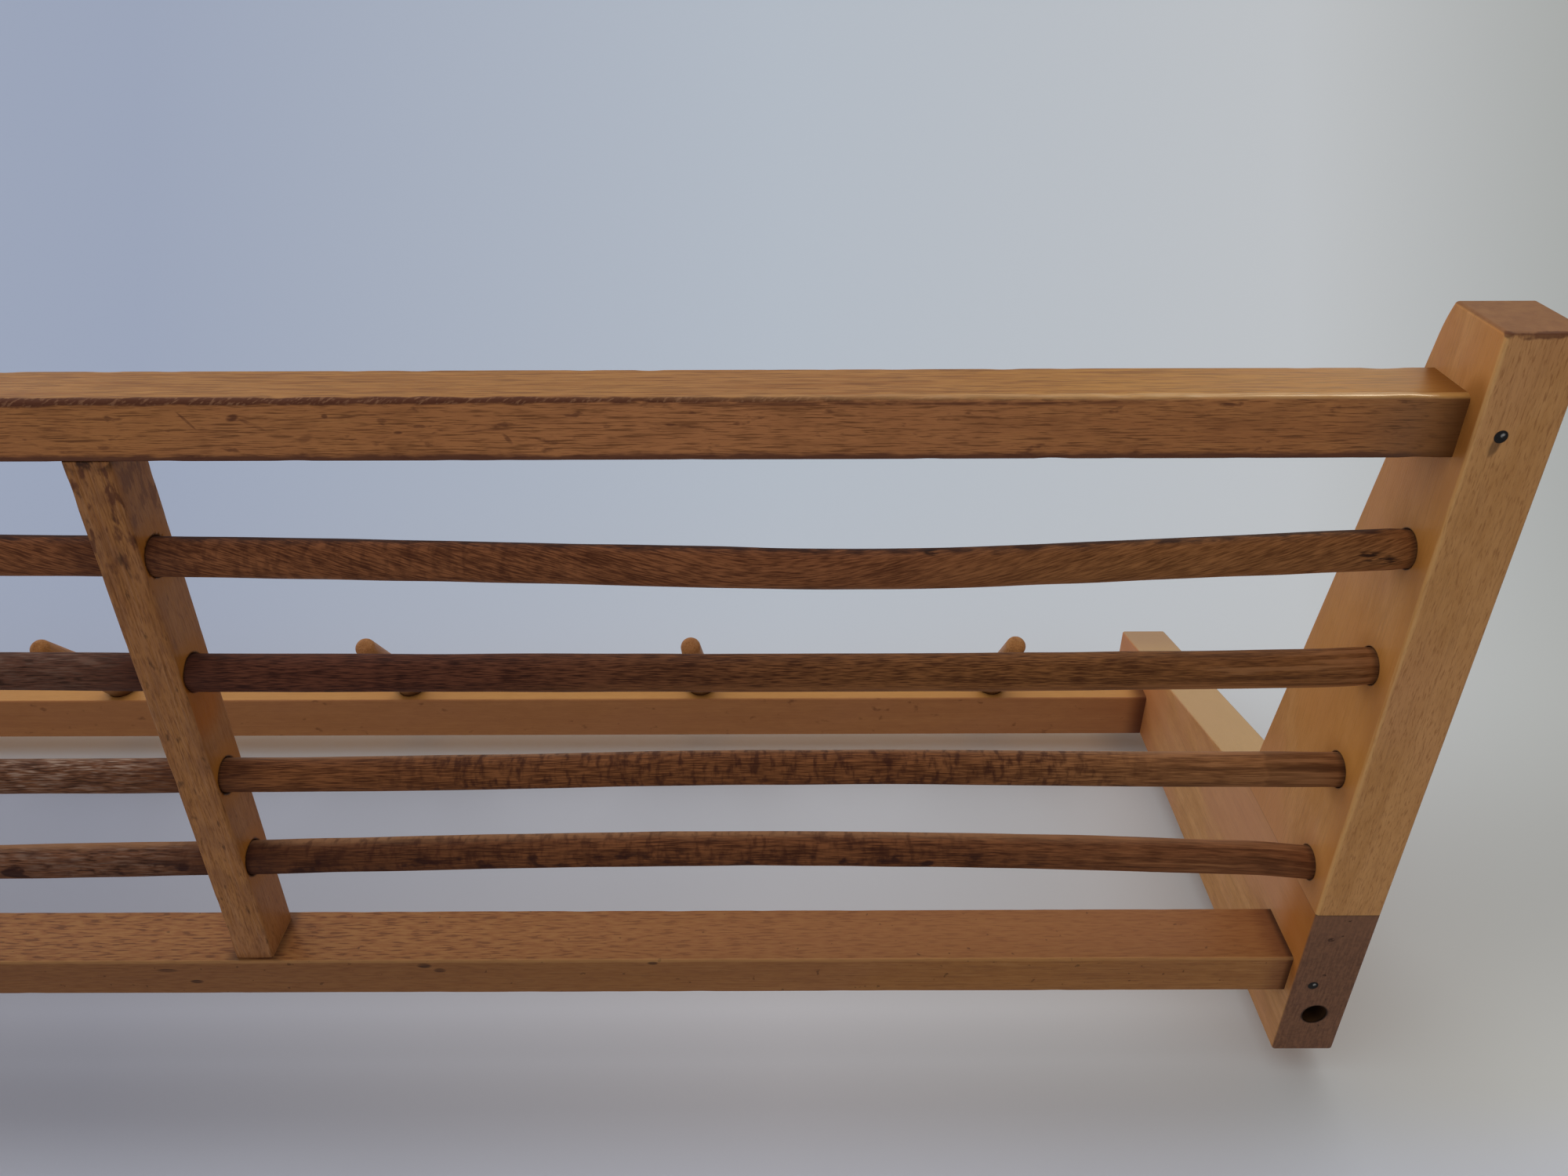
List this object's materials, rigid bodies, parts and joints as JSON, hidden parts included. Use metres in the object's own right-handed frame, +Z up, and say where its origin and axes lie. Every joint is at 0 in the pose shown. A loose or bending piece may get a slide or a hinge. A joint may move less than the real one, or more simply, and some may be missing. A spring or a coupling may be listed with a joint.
{
  "type": "wall coat rack with shelf",
  "caption": "Wall coat rack in wood: L-shaped end brackets carry a hat shelf of rails and round dowels, above a rail of slanted, tapered coat pegs.",
  "frame": {"origin": "middle of the peg rail's back face, on the wall plane", "axes": "+X along the rack to the right of someone facing it, +Y into the wall, +Z up"},
  "size_m": [0.809, 0.2842, 0.2475],
  "materials": {
    "frame_wood": "satin varnish over honey-coloured beech, worn edges",
    "dowel_wood": "dark brown stain, worn in patches",
    "peg_wood": "satin varnish over honey-coloured beech",
    "nail_steel": "dull, a little rusted",
    "pin_wood": "bare"
  },
  "bodies": {
    "root": {"left_wall_leg": "frame_wood", "right_wall_leg": "frame_wood", "left_shelf_arm": "frame_wood", "right_shelf_arm": "frame_wood", "front_rail": "frame_wood", "back_rail": "frame_wood", "peg_rail": "frame_wood", "centre_support": "frame_wood", "shelf_dowel_1": "dowel_wood", "shelf_dowel_2": "dowel_wood", "shelf_dowel_3": "dowel_wood", "shelf_dowel_4": "dowel_wood", "coat_peg_1": "peg_wood", "coat_peg_2": "peg_wood", "coat_peg_3": "peg_wood", "coat_peg_4": "peg_wood", "coat_peg_5": "peg_wood", "rail_nails": "nail_steel", "bracket_pins": "pin_wood"}
  },
  "joints": []
}
